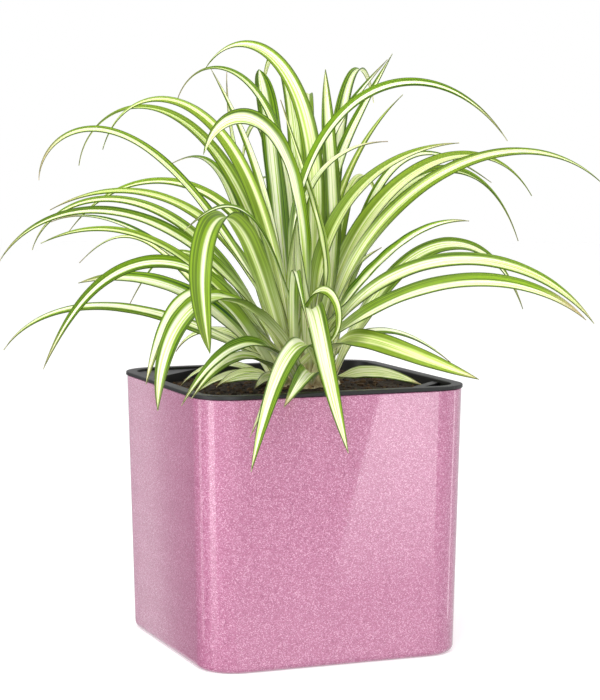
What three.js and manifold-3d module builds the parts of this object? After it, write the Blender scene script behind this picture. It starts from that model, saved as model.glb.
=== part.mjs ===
// A spider plant in a square planter: a glossy pot, a planting insert hung in it by its lip,
// soil, a short rootstock and its strap leaves, each leaf a solid of its own.
// Millimetres, +Z up. The origin is the centre of the pot's flat underside, and the pot's
// front face looks towards -Y.
import * as THREE from 'three';
import { mergeVertices } from 'three/addons/utils/BufferGeometryUtils.js';
import Module from 'manifold-3d';

const wasm = await Module();
wasm.setup();

// ---------------------------------------------------------------- driving dimensions

const GAP = 0.3; // clearance between pieces that rest in one another
const SOFT_EDGE = 0.5; // rounding of the moulded edges

const POT = {
  height: 132.8,
  top: 140, // outside width at the rim
  base: 134.7, // outside width at the foot
  corner: 19, // radius of the upright corners
  foot: 3.5, // rounding where the wall meets the underside
  wall: 2.8,
  floor: 3,
};

const LINER = {
  lip: 141.2, // outside width of the lip that covers the pot's rim
  lipThick: 2.1,
  mouth: 129.8, // inside width at the top
  floorWidth: 122, // inside width at its raised floor
  floorTop: 34, // height of the raised floor, over the water reservoir
  wall: 2,
  corner: 14,
  foot: 1.5, // rounding under the raised floor
  webThick: 5, // upright diagonal wall that parts the watering shaft from the soil
  webDrop: 1.5, // depth of the web's top edge below the lip
  shaftLeg: 26, // leg of the triangle that the web cuts off the mouth's corner
  shelfLeg: 38, // leg of the triangular shelf in the opposite corner
  shelfDrop: 1.2, // depth of the shelf's face below the lip
  shelfThick: 17,
};
const LINER_TOP = POT.height + GAP + LINER.lipThick;
const SHELF_TOP = LINER_TOP - LINER.shelfDrop;
const SHELF_UNDER = SHELF_TOP - LINER.shelfThick;

const SOIL = {
  level: 129,
  rough: 0.9, // height of the lumps
  rows: 9, // rows of lumps from the wall to the rootstock
  sideSteps: 7,
};

const CROWN = {
  x: 9.3,
  y: 1.8,
  turn: -21.1, // degrees: direction that leaf headings are counted from
  radius: 18.5,
  dome: 22, // height of the rootstock above the soil
  depth: 21, // and below it
  stub: 12, // height of the rounded lower end
  sides: 40,
  domeSteps: 9,
  stand: 0.95, // from its surface to the middle of a leaf's root
  standTwisted: 0.46, // and this much more where the leaf points away across its root
  sink: 4, // depth that the short leaves are sunk into the rootstock
};
// distance of the five whorls of leaf roots from the rootstock's axis
const WHORL = [0, 4, 7.5, 11, 14.2, 17.2];

const LEAF = {
  thick: 0.7,
  fold: 28, // degrees that each half rises from the midrib
  tip: 0.9, // width that the point is cut off at
  root: 0.28, // width at the root, as a share of the greatest
  full: 1.12, // share of its row's width that the blade would have without its taper
  steps: 60, // short straight steps that the midrib is summed from
  sections: 8, // cross-sections of the shortest blade, and one more for each
  sectionEvery: 40, // millimetres of length
  // shares of the length at which the blade is widest, fully folded and fully rolled
  widest: 0.4,
  folded: 0.2,
  rolled: 0.35,
};

// ---------------------------------------------------------------- materials

const finish = (color, roughness, metalness = 0) =>
  () => new THREE.MeshStandardMaterial({ color, roughness, metalness });
const pinkGloss = finish(0xd28cae, 0.22);
const blackPlastic = finish(0x26262a, 0.45);
const darkSoil = finish(0x3a2614, 0.95);
const paleRoot = finish(0xb9b47c, 0.7);
const leafGreen = finish(0x8fb552, 0.45);

// ---------------------------------------------------------------- solids

function toSolid(geometry) {
  const bare = geometry.index ? geometry.toNonIndexed() : geometry.clone();
  bare.deleteAttribute('normal');
  bare.deleteAttribute('uv');
  const welded = mergeVertices(bare, 1e-4);
  return new wasm.Manifold(new wasm.Mesh({
    numProp: 3,
    vertProperties: new Float32Array(welded.attributes.position.array),
    triVerts: new Uint32Array(welded.index.array),
  }));
}

function toGeometry(solid) {
  const mesh = solid.getMesh();
  const geometry = new THREE.BufferGeometry();
  geometry.setAttribute('position', new THREE.BufferAttribute(mesh.vertProperties, 3));
  geometry.setIndex(new THREE.BufferAttribute(mesh.triVerts, 1));
  geometry.computeVertexNormals();
  return geometry;
}

// A closed body through rings that all have the same number of points. The first and the
// last ring are closed with a fan to their middle. Rings run anticlockwise seen from above,
// and their order goes out over the underside, up the outside and in over the top.
function closedSkin(rings) {
  const count = rings[0].length;
  const points = rings.flat();
  const triangles = [];
  for (let r = 0; r + 1 < rings.length; r += 1) {
    for (let i = 0; i < count; i += 1) {
      const next = (i + 1) % count;
      const low = r * count;
      const high = low + count;
      triangles.push(low + i, low + next, high + next, low + i, high + next, high + i);
    }
  }
  const middle = (ring) => ring
    .reduce((sum, p) => sum.add(p), new THREE.Vector3())
    .divideScalar(count);
  const last = (rings.length - 1) * count;
  const firstMiddle = points.push(middle(rings[0])) - 1;
  const lastMiddle = points.push(middle(rings[rings.length - 1])) - 1;
  for (let i = 0; i < count; i += 1) {
    const next = (i + 1) % count;
    triangles.push(firstMiddle, next, i, lastMiddle, last + i, last + next);
  }
  const geometry = new THREE.BufferGeometry().setFromPoints(points);
  geometry.setIndex(triangles);
  geometry.computeVertexNormals();
  return geometry;
}

// A square of the given width with rounded corners, at height z. Each straight side is
// divided into sideSteps.
const CORNER_STEPS = 6;
function squareRing(width, corner, z, sideSteps = 1) {
  const straight = width / 2 - corner;
  const ring = [];
  for (let side = 0; side < 4; side += 1) {
    const across = [1, -1, -1, 1][side] * straight;
    const along = [1, 1, -1, -1][side] * straight;
    for (let i = 0; i <= CORNER_STEPS; i += 1) {
      const angle = (side + i / CORNER_STEPS) * Math.PI / 2;
      ring.push(new THREE.Vector3(
        across + corner * Math.cos(angle),
        along + corner * Math.sin(angle),
        z,
      ));
    }
    const end = ring[ring.length - 1];
    const onward = new THREE.Vector3([-1, 0, 1, 0][side], [0, -1, 0, 1][side], 0);
    for (let i = 1; i < sideSteps; i += 1) {
      ring.push(end.clone().addScaledVector(onward, (2 * straight * i) / sideSteps));
    }
  }
  return ring;
}

const mix = THREE.MathUtils.lerp;

// ---------------------------------------------------------------- outer pot

// One moulded shell with walls that lean out a little, a rounded foot and a flat underside.
function outerPot() {
  const widthAt = (z) => mix(POT.base, POT.top, z / POT.height);
  const cornerAt = (z) => mix(POT.corner - 1, POT.corner, z / POT.height);
  const rings = [];
  const footSteps = 3;
  for (let i = 0; i <= footSteps; i += 1) {
    const angle = (i / footSteps) * Math.PI / 2;
    const inset = POT.foot * (1 - Math.sin(angle));
    const z = POT.foot * (1 - Math.cos(angle));
    rings.push(squareRing(widthAt(z) - 2 * inset, cornerAt(z) - inset, z));
  }
  rings.push(squareRing(POT.top, POT.corner, POT.height - SOFT_EDGE));
  rings.push(squareRing(POT.top - 2 * SOFT_EDGE, POT.corner - SOFT_EDGE, POT.height));
  const inside = (z, extra) => squareRing(
    widthAt(z) - 2 * (POT.wall + extra),
    cornerAt(z) - POT.wall - extra,
    z,
  );
  rings.push(inside(POT.height, 0));
  rings.push(inside(POT.floor + POT.foot, 0));
  rings.push(inside(POT.floor, POT.foot / 2));
  return closedSkin(rings);
}

// ---------------------------------------------------------------- liner

const linerDepth = LINER_TOP - LINER.floorTop;
const linerWidthAt = (z) => mix(LINER.floorWidth, LINER.mouth, (z - LINER.floorTop) / linerDepth);
const linerCornerAt = (z) => mix(LINER.corner - 2, LINER.corner, (z - LINER.floorTop) / linerDepth);

// the insert's inside at height z, made larger all round by grow
const linerInside = (z, grow = 0, sideSteps = 1) => squareRing(
  linerWidthAt(z) + 2 * grow,
  linerCornerAt(z) + grow,
  z,
  sideSteps,
);

// An upright prism over one corner of the mouth, out to beyond the lip. Its diagonal face cuts
// a triangle with the given leg off that corner.
const PAST_LIP = 5;
function cornerPrism(quadrant, leg, bottom, top) {
  const [sx, sy] = quadrant;
  const far = LINER.lip / 2 + PAST_LIP;
  const near = LINER.mouth / 2 - leg - (far - LINER.mouth / 2);
  const outline = new THREE.Shape();
  outline.moveTo(sx * far, sy * far);
  outline.lineTo(sx * near, sy * far);
  outline.lineTo(sx * far, sy * near);
  outline.closePath();
  const prism = new THREE.ExtrudeGeometry(outline, { depth: top - bottom, bevelEnabled: false });
  prism.translate(0, 0, bottom);
  return toSolid(prism);
}

const SHAFT_CORNER = [1, -1];
const SHELF_CORNER = [-1, 1];
const webLeg = LINER.shaftLeg + LINER.webThick * Math.SQRT2;

function liner() {
  const bottom = LINER.floorTop - LINER.wall;
  const lipUnder = POT.height + GAP;
  const lipCorner = POT.corner + (LINER.lip - POT.top) / 2;
  const outside = [
    linerInside(bottom, LINER.wall - LINER.foot),
    linerInside(bottom + LINER.foot, LINER.wall),
    linerInside(lipUnder, LINER.wall),
  ];
  const lip = [
    squareRing(LINER.lip, lipCorner, lipUnder),
    squareRing(LINER.lip, lipCorner, LINER_TOP - SOFT_EDGE),
    squareRing(LINER.lip - 2 * SOFT_EDGE, lipCorner - SOFT_EDGE, LINER_TOP),
    linerInside(LINER_TOP, SOFT_EDGE),
    linerInside(LINER_TOP - SOFT_EDGE),
  ];
  const shell = toSolid(closedSkin([...outside, ...lip, linerInside(LINER.floorTop)]));
  const filled = toSolid(closedSkin(outside));
  const past = LINER.wall; // each cutting body runs on past what it cuts
  const web = cornerPrism(SHAFT_CORNER, webLeg, bottom, LINER_TOP - LINER.webDrop)
    .subtract(cornerPrism(SHAFT_CORNER, LINER.shaftLeg, bottom - past, LINER_TOP + past));
  const shelf = cornerPrism(SHELF_CORNER, LINER.shelfLeg, SHELF_UNDER, SHELF_TOP);
  // the shaft goes on through the raised floor into the reservoir
  const throughFloor = closedSkin([
    linerInside(bottom - past, -SOFT_EDGE),
    linerInside(LINER.floorTop + past, -SOFT_EDGE),
  ]);
  const shaftMouth = toSolid(throughFloor)
    .intersect(cornerPrism(SHAFT_CORNER, LINER.shaftLeg, bottom - 2 * past, LINER.floorTop + 2 * past));
  return toGeometry(shell
    .add(web.intersect(filled))
    .add(shelf.intersect(filled))
    .subtract(shaftMouth));
}

// ---------------------------------------------------------------- soil

// Lumps as a sum of slow waves, highest where the soil is heaped round the rootstock.
const lump = (x, y) => SOIL.rough * (
  0.5 * Math.sin(x / 5.3 + 1) * Math.cos(y / 4.1)
  + 0.3 * Math.sin((x + y) / 2.9)
  + 0.2 * Math.cos((x - 2 * y) / 3.7)
);

function soil() {
  const bottom = LINER.floorTop + GAP;
  const outline = linerInside(SOIL.level, -GAP, SOIL.sideSteps);
  // the hole's flat sides clear the rootstock too
  const holeRadius = CROWN.radius + GAP * 5 / 3;
  const hole = (z) => outline.map((p) => {
    const angle = Math.atan2(p.y - CROWN.y, p.x - CROWN.x);
    return new THREE.Vector3(
      CROWN.x + holeRadius * Math.cos(angle),
      CROWN.y + holeRadius * Math.sin(angle),
      z,
    );
  });
  const rim = hole(SOIL.level);
  const topRings = [];
  for (let row = 0; row <= SOIL.rows; row += 1) {
    topRings.push(outline.map((p, i) => {
      const point = p.clone().lerp(rim[i], row / SOIL.rows);
      const share = Math.min(1, row, SOIL.rows - row); // level at the wall and at the hole
      point.z = SOIL.level + share * lump(point.x, point.y);
      return point;
    }));
  }
  const holeBottom = SOIL.level - CROWN.depth - GAP;
  const block = toSolid(closedSkin([
    linerInside(bottom, -GAP, SOIL.sideSteps),
    ...topRings,
    hole(holeBottom),
  ]));
  const clear = GAP * Math.SQRT2;
  return toGeometry(block
    .subtract(cornerPrism(SHAFT_CORNER, webLeg + clear, bottom - GAP, LINER_TOP))
    .subtract(cornerPrism(SHELF_CORNER, LINER.shelfLeg + clear, SHELF_UNDER - GAP, LINER_TOP)));
}

// ---------------------------------------------------------------- leaves

// How a leaf grows: its root stands on one whorl of the rootstock, in the direction root.
// The leaf itself points in the direction heading (both in degrees, anticlockwise from the
// plant's right). It leaves the root at the angle lean above level and turns over by bend
// degrees on its way. The middle of that bend lies at the share "at" of the length, and the
// bend is spread over the share "over". Sweep is how far the heading drifts, and turn rolls
// the blade about its midrib. Lengths and widths are in millimetres.
const COLUMNS = [
  'whorl', 'root', 'heading', 'length', 'lean', 'bend', 'at', 'over', 'sweep', 'width', 'turn',
];
const leafOf = (row) => Object.fromEntries(COLUMNS.map((name, i) => [name, row[i]]));

const LEAVES = [
  // innermost whorl
  [1, 286, 309, 137, 48, -70, 0.25, 0.1, 5, 10.5, -63],
  // second whorl
  [2, 19, 29, 143, 79, -17, 0.4, 0.1, 1, 10, -26],
  [2, 89, 133, 217, 100, 143, 0.9, 0.2, 0, 10.5, 54],
  [2, 135, 139, 201, 92, 157, 1.05, 0.2, 2, 5.5, 40],
  [2, 167, 153, 212, 80, 149, 0.9, 0.2, -9, 9, 50],
  [2, 216, 211, 210, 57, 146, 1.4, 0.2, 10, 9, 58],
  [2, 238, 315, 240, 101, 153, 0.75, 0.3, 6, 8.5, -74],
  [2, 254, 243, 157, 62, 87, 0.65, 0.15, 0, 4.5, 58],
  [2, 293, 311, 134, 46, 48, 1.1, 0.25, 0, 11, -58],
  [2, 343, 353, 144, 101, 98, 0.75, 0.45, 0, 10.5, -62],
  // third whorl
  [3, 12, 12, 249, 88, 116, -0.2, 0.75, 38, 8.5, -58],
  [3, 31, 43, 196, 71, 95, 0.6, 0.1, 4, 6, -49],
  [3, 50, 20, 209, 86, 134, 1.2, 0.6, 25, 9.5, -55],
  [3, 63, 36, 169, 87, 35, 0.55, 0.1, 7, 8.5, -27],
  [3, 78, 64, 194, 93, 64, 0.5, 0.1, -5, 6, -27],
  [3, 100, 105, 230, 86, 152, 0.85, 0.15, -4, 10, -4],
  [3, 127, 111, 163, 72, 27, 0.85, 0.1, -9, 12, -9],
  [3, 142, 121, 180, 81, 44, 0.5, 0.2, -5, 6, 24],
  [3, 176, 190, 165, 74, 102, 0.7, 0.25, -16, 9, 45],
  [3, 195, 204, 187, 60, 119, 1.4, 0.4, -6, 8.5, 58],
  [3, 211, 243, 187, 57, 173, 0.65, 0.1, 9, 9, 5],
  [3, 233, 233, 157, 48, 136, 0.95, 0.4, 13, 9.5, 19],
  [3, 254, 288, 94, 76, 243, 0.65, 0.15, 27, 6.5, -46],
  [3, 270, 225, 174, 88, 161, 0.9, 0.15, 0, 12, 72],
  // fourth whorl
  [4, 41, 42, 221, 78, 141, 0.7, 0.25, 3, 9.5, -55],
  [4, 63, 72, 216, 75, 132, 0.85, 0.1, 1, 10, -1],
  [4, 87, 87, 209, 82, 131, 0.75, 0.1, 3, 9, 0],
  [4, 106, 111, 194, 71, 143, 0.8, 0.1, -6, 9, 5],
  [4, 125, 133, 238, 76, 157, 1.4, 0.3, 16, 9.5, 31],
  [4, 144, 124, 179, 63, 75, 0.7, 0.1, -7, 7.5, 23],
  [4, 156, 154, 191, 94, 146, 0.65, 0.3, 9, 7, 60],
  [4, 171, 160, 157, 50, 72, 1.4, 0.3, -3, 5, 54],
  [4, 187, 186, 178, 70, 144, 1.4, 0.35, -4, 8, 58],
  [4, 203, 198, 153, 30, 87, 1.4, 0.3, -10, 7.5, 58],
  [4, 218, 202, 173, 59, 124, 0.55, 0.15, 0, 8.5, 58],
  [4, 234, 221, 174, 46, 67, 0.85, 0.2, -3, 8, 54],
  [4, 246, 268, 135, 73, 101, 0.45, 0.1, 10, 5.5, -1],
  [4, 253, 308, 179, 37, 80, 1.4, 0.35, 38, 8.5, -62],
  [4, 277, 268, 146, 88, 135, 0.25, 0.1, 22, 10.5, -12],
  [4, 290, 348, 175, 74, 125, 0.3, 0.85, 17, 8, -57],
  [4, 306, 304, 123, 66, 76, 0.1, 0.1, 8, 10.5, -55],
  // outermost whorl
  [5, 32, 45, 187, 60, 122, 0.7, 0.25, -4, 9, -58],
  [5, 56, 34, 95, 75, 111, -0.15, 0.35, -2, 4.5, -58],
  [5, 68, 68, 170, 68, 119, 0.75, 0.1, 3, 9, -10],
  [5, 83, 66, 191, 84, 59, 0.45, 0.35, -8, 5.5, -15],
  [5, 102, 102, 158, 65, 100, 0.8, 0.1, 3, 7.5, 0],
  [5, 132, 132, 165, 46, 96, 0.65, 0.1, -2, 5, 55],
  [5, 153, 138, 178, 39, 74, 0.75, 0.1, -4, 4, 50],
  [5, 178, 177, 120, 63, 79, 0.8, 0.55, -2, 8.5, 55],
  [5, 220, 231, 141, 49, 113, 0.6, 0.1, 4, 8, 5],
  [5, 234, 241, 104, 36, 63, 0.4, 0.25, 5, 8.5, 30],
  [5, 250, 243, 122, 49, 89, 0.3, 0.4, -3, 10.5, 30],
  [5, 278, 271, 99, 24, 43, 0.3, 0.35, -18, 11.5, 20],
  [5, 298, 260, 139, 47, 110, 0.4, 0.2, -19, 11.5, 14],
].map(leafOf);

// short and withered leaves that are grown together with the rootstock
const SHORT_LEAVES = [
  [1, 342, 356, 129, 104, 104, 0.8, 0.2, -4, 4.5, -60],
  [4, 17, 31, 72, 83, 59, 0.7, 0.1, 0, 4.5, -32],
  [5, 114, 118, 175, 61, -31, 0.95, 0.1, 3, 4, 10],
  [5, 163, 164, 67, 65, 124, 0.8, 0.35, 0, 4.5, 58],
  [5, 207, 209, 36, 35, 75, 0.55, 0.35, 0, 5, 58],
  [5, 263, 261, 114, 39, 72, 0.35, 0.1, -10, 4.5, 12],
  [5, 316, 312, 73, 24, 34, 0.2, 0.35, 1, 6, -55],
].map(leafOf);

const radians = THREE.MathUtils.degToRad;
const logistic = (x) => 1 / (1 + Math.exp(-THREE.MathUtils.clamp(x, -60, 60)));
const ease = (x) => THREE.MathUtils.smoothstep(x, 0, 1);

// share of a leaf's bend that is done at the share u of its length
function bendDone(leaf, u) {
  const at = (x) => logistic((x - leaf.at) / leaf.over);
  return (at(u) - at(0)) / (at(1) - at(0));
}

// direction of the midrib, the blade's width direction and its upper face at the share u
function leafFrame(leaf, u) {
  const lift = radians(leaf.lean - leaf.bend * bendDone(leaf, u));
  const heading = radians(leaf.heading + leaf.sweep * u);
  const level = new THREE.Vector3(Math.cos(heading), Math.sin(heading), 0);
  const up = new THREE.Vector3(0, 0, 1);
  const along = level.clone().multiplyScalar(Math.cos(lift)).addScaledVector(up, Math.sin(lift));
  const face = level.clone().multiplyScalar(-Math.sin(lift)).addScaledVector(up, Math.cos(lift));
  const across = along.clone().cross(face);
  const roll = radians(leaf.turn) * ease(u / LEAF.rolled);
  return {
    along,
    across: across.clone().multiplyScalar(Math.cos(roll)).addScaledVector(face, Math.sin(roll)),
    face: face.clone().multiplyScalar(Math.cos(roll)).addScaledVector(across, -Math.sin(roll)),
  };
}

const domeHeight = (radius) => SOIL.level + CROWN.dome * (1 - (radius / CROWN.radius) ** 2);

// middle of a leaf's root, a little way off the rootstock's surface
function rootPoint(leaf) {
  const radius = WHORL[leaf.whorl];
  const slope = 2 * CROWN.dome * radius / CROWN.radius ** 2;
  const twist = Math.abs(Math.sin(radians(leaf.root - leaf.heading)));
  const stand = CROWN.stand + CROWN.standTwisted * twist;
  const outward = new THREE.Vector2(slope, 1).normalize().multiplyScalar(stand);
  const direction = radians(leaf.root);
  return new THREE.Vector3(
    (radius + outward.x) * Math.cos(direction),
    (radius + outward.x) * Math.sin(direction),
    domeHeight(radius) + outward.y,
  );
}

// points of the midrib, from the root to the tip
function midrib(leaf) {
  const points = [rootPoint(leaf)];
  const step = leaf.length / LEAF.steps;
  for (let i = 0; i < LEAF.steps; i += 1) {
    const { along } = leafFrame(leaf, (i + 0.5) / LEAF.steps);
    points.push(points[i].clone().addScaledVector(along, step));
  }
  return points;
}

// Widens from the root to its widest place, then narrows to a long point.
function leafWidth(leaf, u) {
  const widened = Math.sin((Math.PI / 2) * Math.min(1, u / LEAF.widest));
  const swell = LEAF.root + (1 - LEAF.root) * widened;
  return Math.max(LEAF.tip, leaf.width * LEAF.full * swell * (1 - u ** 2));
}

// Numbers of the midrib points that carry a cross-section, closest together in the bend.
function stations(leaf) {
  const sections = Math.round(LEAF.sections + leaf.length / LEAF.sectionEvery);
  const chosen = [0];
  for (let i = 1; i < sections; i += 1) {
    let k = chosen[i - 1] + 1;
    const progress = (n) => 0.5 * (n / LEAF.steps) + 0.5 * bendDone(leaf, n / LEAF.steps);
    while (k < LEAF.steps - (sections - i) && progress(k) < i / sections) k += 1;
    chosen.push(k);
  }
  chosen.push(LEAF.steps);
  return chosen;
}

// A keeled strap: six points round each section, three on the upper face from the left edge
// over the midrib to the right edge, and three below them in the opposite order.
function blade(leaf, sink = 0) {
  const line = midrib(leaf);
  line[0].addScaledVector(leafFrame(leaf, 0).along, -sink);
  const points = [];
  const chosen = stations(leaf);
  for (const k of chosen) {
    const u = k / LEAF.steps;
    const { across, face } = leafFrame(leaf, u);
    const half = leafWidth(leaf, u) / 2;
    const fold = radians(LEAF.fold) * ease(u / LEAF.folded);
    const edge = (side, level) => line[k].clone()
      .addScaledVector(across, side * half * Math.cos(fold))
      .addScaledVector(face, Math.abs(side) * half * Math.sin(fold) + level * LEAF.thick / 2);
    points.push(edge(-1, 1), edge(0, 1), edge(1, 1), edge(1, -1), edge(0, -1), edge(-1, -1));
  }
  const triangles = [];
  for (let s = 0; s + 1 < chosen.length; s += 1) {
    const here = s * 6;
    const next = here + 6;
    // The quads of both faces are split along the same lines, from an edge here to the
    // midrib further on, so that the faces can't cross where the blade is waved.
    for (const [a, b, fromA] of [[0, 1, true], [1, 2, false], [2, 3, true],
      [3, 4, true], [4, 5, false], [5, 0, true]]) {
      if (fromA) {
        triangles.push(here + a, here + b, next + b, here + a, next + b, next + a);
      } else {
        triangles.push(here + a, here + b, next + a, here + b, next + b, next + a);
      }
    }
  }
  const end = (chosen.length - 1) * 6;
  for (const [a, b, c] of [[0, 1, 4], [0, 4, 5], [1, 2, 3], [1, 3, 4]]) {
    triangles.push(a, c, b, end + a, end + b, end + c);
  }
  const geometry = new THREE.BufferGeometry().setFromPoints(points);
  geometry.setIndex(triangles);
  geometry.computeVertexNormals();
  return geometry;
}

// ---------------------------------------------------------------- crown

// The rootstock: a stub in the soil under a dome of old leaf bases, with the short leaves.
function crown() {
  const ring = (radius, z) => Array.from({ length: CROWN.sides }, (_, i) => {
    const angle = (i / CROWN.sides) * 2 * Math.PI;
    return new THREE.Vector3(radius * Math.cos(angle), radius * Math.sin(angle), z);
  });
  const bottom = SOIL.level - CROWN.depth;
  const rings = [
    ring(CROWN.radius * 0.7, bottom),
    ring(CROWN.radius * 0.95, bottom + CROWN.stub * 0.4),
    ring(CROWN.radius, bottom + CROWN.stub),
  ];
  for (let i = 0; i < CROWN.domeSteps; i += 1) {
    const radius = CROWN.radius * (1 - i / CROWN.domeSteps);
    rings.push(ring(radius, domeHeight(radius)));
  }
  let solid = toSolid(closedSkin(rings));
  for (const leaf of SHORT_LEAVES) {
    solid = solid.add(toSolid(blade(leaf, CROWN.sink)));
  }
  return toGeometry(solid);
}

// ---------------------------------------------------------------- the object

function named(name, geometry, material) {
  const mesh = new THREE.Mesh(geometry, material());
  mesh.name = name;
  return mesh;
}

const planter = new THREE.Group();
planter.add(
  named('outer_pot', outerPot(), pinkGloss),
  named('liner', liner(), blackPlastic),
  named('soil', soil(), darkSoil),
);

const plant = new THREE.Group();
plant.position.set(CROWN.x, CROWN.y, 0);
plant.rotation.z = radians(CROWN.turn);
plant.add(named('crown', crown(), paleRoot));
LEAVES.forEach((leaf, i) => {
  plant.add(named(`leaf_${String(i + 1).padStart(2, '0')}`, blade(leaf), leafGreen));
});

const part = new THREE.Group();
part.add(planter, plant);

export default part;
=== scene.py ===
# A young spider plant in a square glitter-pink planter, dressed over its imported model.
# Metres, +Z up, the pot's front face towards -Y. The sections follow the thing as it is put
# together: the room it stands in, the outer pot, the liner hung in it, the soil, the leaves
# and the rootstock that they grow from.
import math
import random

import bmesh
import bpy
import numpy as np
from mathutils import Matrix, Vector, noise


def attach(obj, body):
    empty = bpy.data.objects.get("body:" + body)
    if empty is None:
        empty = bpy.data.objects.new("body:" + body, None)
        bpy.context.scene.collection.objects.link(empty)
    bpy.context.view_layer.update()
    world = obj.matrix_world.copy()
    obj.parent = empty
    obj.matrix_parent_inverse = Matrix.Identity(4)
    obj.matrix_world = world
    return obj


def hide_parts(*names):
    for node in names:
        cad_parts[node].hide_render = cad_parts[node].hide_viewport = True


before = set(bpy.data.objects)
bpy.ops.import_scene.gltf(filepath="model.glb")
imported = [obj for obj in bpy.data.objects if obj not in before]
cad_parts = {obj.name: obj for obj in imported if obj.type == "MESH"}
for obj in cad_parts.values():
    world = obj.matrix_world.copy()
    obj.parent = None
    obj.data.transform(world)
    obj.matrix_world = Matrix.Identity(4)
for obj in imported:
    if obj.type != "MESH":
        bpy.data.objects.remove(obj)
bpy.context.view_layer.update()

MM = 0.001


# ---------------------------------------------------------------- the room
# A plain pale floor in an evenly lit white room. Two soft lamps hang high in front, and two
# stand lower, in front and at the left. White panels round the pot are seen only as long
# reflections in its lacquer.

scene = bpy.context.scene
scene.view_settings.view_transform = "Standard"


def aim(thing, place, target):
    """Stand a camera or a lamp at its place and turn it towards the target."""
    thing.location = place
    thing.rotation_euler = (target - place).to_track_quat("-Z", "Y").to_euler()
    scene.collection.objects.link(thing)


camera = bpy.data.objects.new("camera", bpy.data.cameras.new("camera"))
camera.data.lens = 117.27
camera.data.sensor_width = 36
aim(camera, Vector((-415.2, -1075.6, 262.6)) * MM, Vector((4.64, -1.79, 148.37)) * MM)
scene.camera = camera

room = bpy.data.worlds.new("white_room")
scene.world = room
room.use_nodes = True
room_nodes = room.node_tree.nodes
room_links = room.node_tree.links
room_light = room_nodes["Background"]
room_light.inputs["Color"].default_value = (1, 1, 1, 1)
room_light.inputs["Strength"].default_value = 0.8
room_seen = room_nodes.new("ShaderNodeBackground")
room_seen.inputs["Color"].default_value = (1, 1, 1, 1)
room_seen.inputs["Strength"].default_value = 1.0
room_ray = room_nodes.new("ShaderNodeLightPath")
room_mix = room_nodes.new("ShaderNodeMixShader")
room_links.new(room_ray.outputs["Is Camera Ray"], room_mix.inputs[0])
room_links.new(room_light.outputs[0], room_mix.inputs[1])
room_links.new(room_seen.outputs[0], room_mix.inputs[2])
room_links.new(room_mix.outputs[0], room_nodes["World Output"].inputs["Surface"])


def add_lamp(name, place, target, width, power):
    lamp = bpy.data.objects.new(name, bpy.data.lights.new(name, "AREA"))
    lamp.data.shape = "DISK"
    lamp.data.size = width
    lamp.data.energy = power
    aim(lamp, Vector(place), Vector(target))


add_lamp("key_lamp", (-0.75, -0.95, 1.25), (0, 0, 0.16), width=0.9, power=11)
add_lamp("fill_lamp", (1.0, -0.8, 0.9), (0, 0, 0.14), width=0.9, power=6)
add_lamp("left_lamp", (-1.2, 0.05, 0.5), (0, 0, 0.1), width=0.5, power=6.5)
add_lamp("low_lamp", (-0.45, -1.4, 0.18), (0, 0, 0.12), width=0.5, power=5.5)


def clear_selection():
    if bpy.context.mode != "OBJECT":
        bpy.ops.object.mode_set(mode="OBJECT")
    bpy.ops.object.select_all(action="DESELECT")


def new_material(name):
    """A material, its Principled shader and the tree that its nodes go into."""
    material = bpy.data.materials.new(name)
    material.use_nodes = True
    tree = material.node_tree
    return material, tree.nodes["Principled BSDF"], tree


def feed(tree, node, values):
    """Give sockets of a node, by name or number, a value or what comes out of another node."""
    for name, value in values.items():
        if isinstance(value, bpy.types.NodeSocket):
            tree.links.new(value, node.inputs[name])
        else:
            node.inputs[name].default_value = value


def read_attribute(tree, name, output="Fac"):
    """A value that the mesh carries at its points."""
    attribute = tree.nodes.new("ShaderNodeAttribute")
    attribute.attribute_name = name
    return attribute.outputs[output]


def set_values(mesh, **values):
    """Give the points of a mesh one value under a name, or each its own."""
    for name, value in values.items():
        attribute = mesh.attributes.new(name, "FLOAT", "POINT")
        attribute.data.foreach_set("value", np.full(len(mesh.vertices), value))


clear_selection()
bpy.ops.mesh.primitive_circle_add(vertices=64, radius=4, fill_type="NGON")
floor = bpy.context.object
floor.name = "floor"
floor_paint, floor_shader, floor_tree = new_material("pale_floor")
feed(floor_tree, floor_shader, {
    "Base Color": (0.93, 0.93, 0.93, 1),
    "Roughness": 0.7,
    "Emission Color": (1, 1, 1, 1),
    "Emission Strength": 0.24,
})
floor.data.materials.append(floor_paint)
floor.visible_glossy = False


def add_panel(name, rows):
    """A card that shows only in reflections, in millimetres: one end, other end, brightness."""
    mesh = bpy.data.meshes.new(name)
    points = [Vector(end) * MM for row in rows for end in row[:2]]
    strips = [(2 * i, 2 * i + 1, 2 * i + 3, 2 * i + 2) for i in range(len(rows) - 1)]
    mesh.from_pydata(points, [], strips)
    set_values(mesh, brightness=np.repeat([row[2] for row in rows], 2))
    panel = bpy.data.objects.new(name, mesh)
    scene.collection.objects.link(panel)
    glow, shader, tree = new_material(name)
    feed(tree, shader, {
        "Base Color": (0, 0, 0, 1),
        "Specular IOR Level": 0,
        "Emission Color": read_attribute(tree, "brightness", "Color"),
        "Emission Strength": 1,
    })
    mesh.materials.append(glow)
    panel.visible_camera = False
    panel.visible_diffuse = False
    panel.visible_shadow = False
    panel.visible_transmission = False


# how far the panels stand from the pot's axis, in millimetres
PANELS_OFF = 250
GROUND_OFF = PANELS_OFF + 2
GLEAM_OFF = PANELS_OFF - 1

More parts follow.
